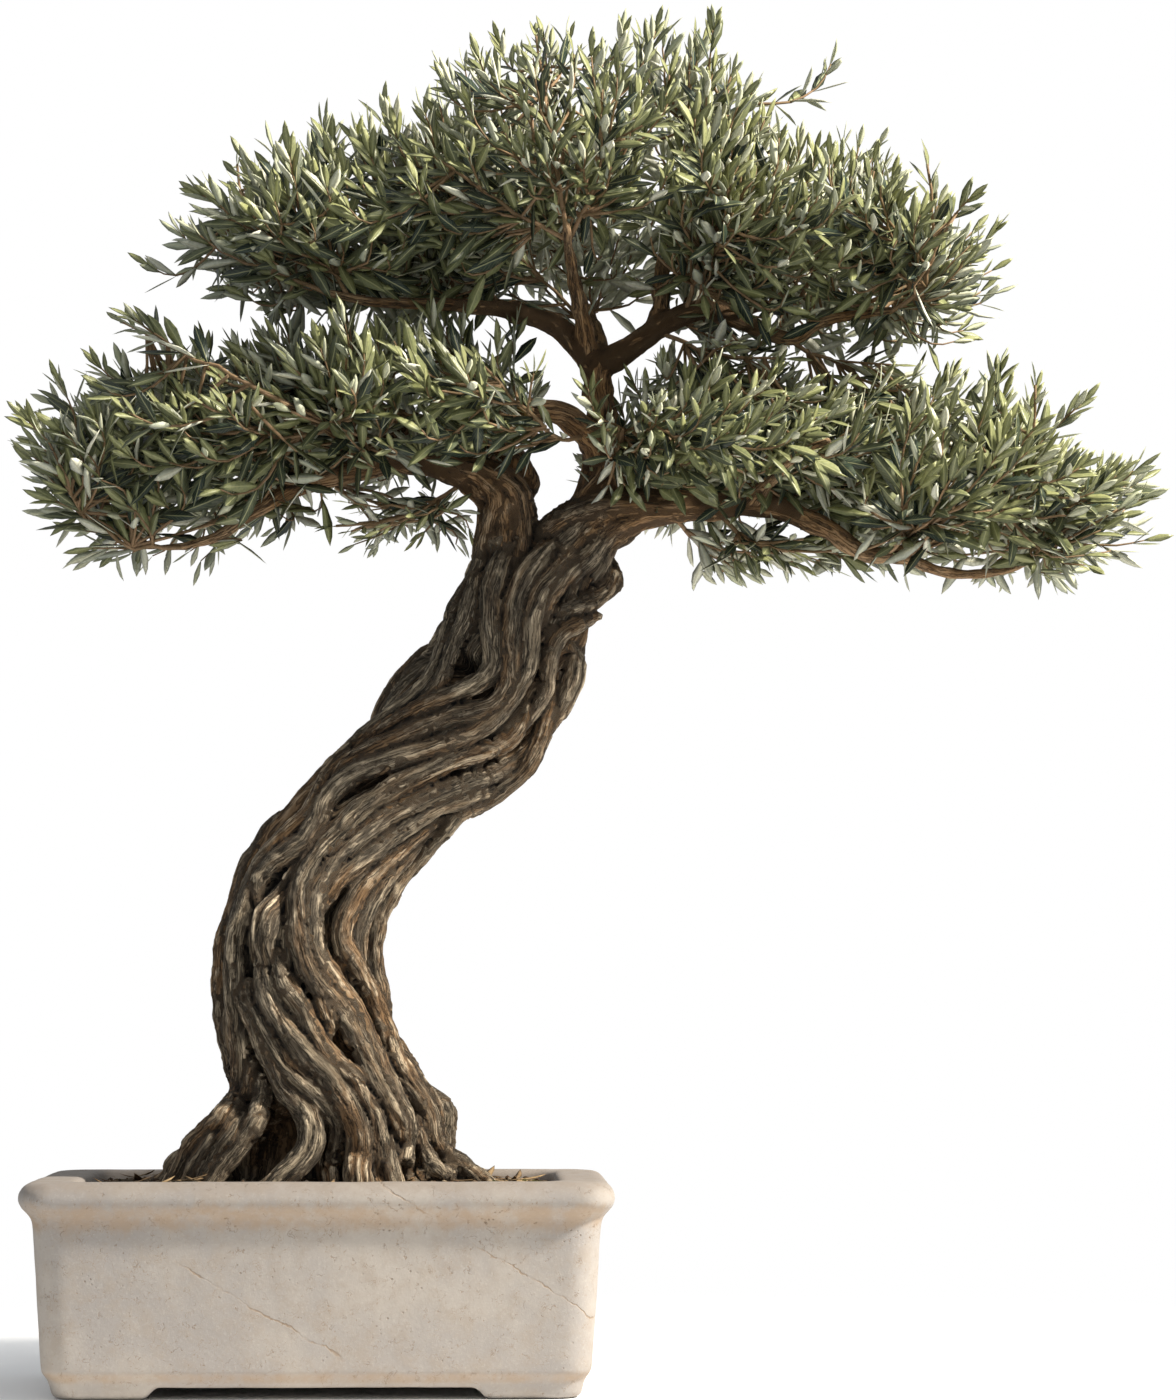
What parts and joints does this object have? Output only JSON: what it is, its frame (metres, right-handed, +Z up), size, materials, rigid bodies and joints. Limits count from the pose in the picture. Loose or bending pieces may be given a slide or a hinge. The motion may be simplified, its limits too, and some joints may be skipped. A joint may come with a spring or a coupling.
{
  "type": "olive bonsai",
  "caption": "Olive bonsai: a leaning, twisted trunk with a broad leafy crown, growing from soil in a rectangular stone trough that stands free on corner feet.",
  "frame": {"origin": "on the surface the trough stands on, under the middle of the whole part's box; the trough's own middle lies 0.212 m towards -X and 0.007 m towards -Y of it", "axes": "+Z up, +X along the trough's length towards the side the crown reaches out to, -Y the viewing side"},
  "size_m": [0.9144, 0.3948, 1.0729],
  "materials": {
    "stone": "honed cream limestone with faint veins and pits",
    "mesh_plastic": "moulded black mesh",
    "gravel": "crushed stone",
    "soil": "damp crumbly potting soil",
    "bark": "weathered fibrous olive bark",
    "leaf": "leathery leaf, grey-green above and silvery beneath"
  },
  "bodies": {
    "root": {"crown_left_spray_1": "leaf", "crown_left_spray_2": "leaf", "crown_left_spray_3": "leaf", "crown_left_spray_4": "leaf", "crown_left_spray_5": "leaf", "crown_left_spray_6": "leaf", "crown_right_spray_1": "leaf", "crown_right_spray_2": "leaf", "crown_right_spray_3": "leaf", "crown_right_spray_4": "leaf", "crown_right_spray_5": "leaf", "crown_right_spray_6": "leaf", "crown_right_spray_7": "leaf", "crown_spray_1": "leaf", "crown_spray_2": "leaf", "crown_spray_3": "leaf", "crown_spray_4": "leaf", "crown_spray_5": "leaf", "crown_spray_6": "leaf", "crown_spray_7": "leaf", "crown_spray_8": "leaf", "drain_screen_left": "mesh_plastic", "drain_screen_right": "mesh_plastic", "drainage_gravel": "gravel", "left_hanging_spray_1": "leaf", "left_hanging_spray_2": "leaf", "left_inner_spray_1": "leaf", "left_inner_spray_2": "leaf", "left_inner_spray_3": "leaf", "left_inner_spray_4": "leaf", "left_inner_spray_5": "leaf", "left_outer_spray_1": "leaf", "left_outer_spray_2": "leaf", "left_outer_spray_3": "leaf", "left_outer_spray_4": "leaf", "left_outer_spray_5": "leaf", "left_outer_spray_6": "leaf", "pot": "stone", "right_hanging_spray_1": "leaf", "right_hanging_spray_2": "leaf", "right_inner_spray_1": "leaf", "right_inner_spray_2": "leaf", "right_inner_spray_3": "leaf", "right_inner_spray_4": "leaf", "right_inner_spray_5": "leaf", "right_outer_spray_1": "leaf", "right_outer_spray_2": "leaf", "right_outer_spray_3": "leaf", "right_outer_spray_4": "leaf", "right_outer_spray_5": "leaf", "right_outer_spray_6": "leaf", "right_outer_spray_7": "leaf", "soil": "soil", "trunk_and_limbs": "bark"}
  },
  "joints": []
}
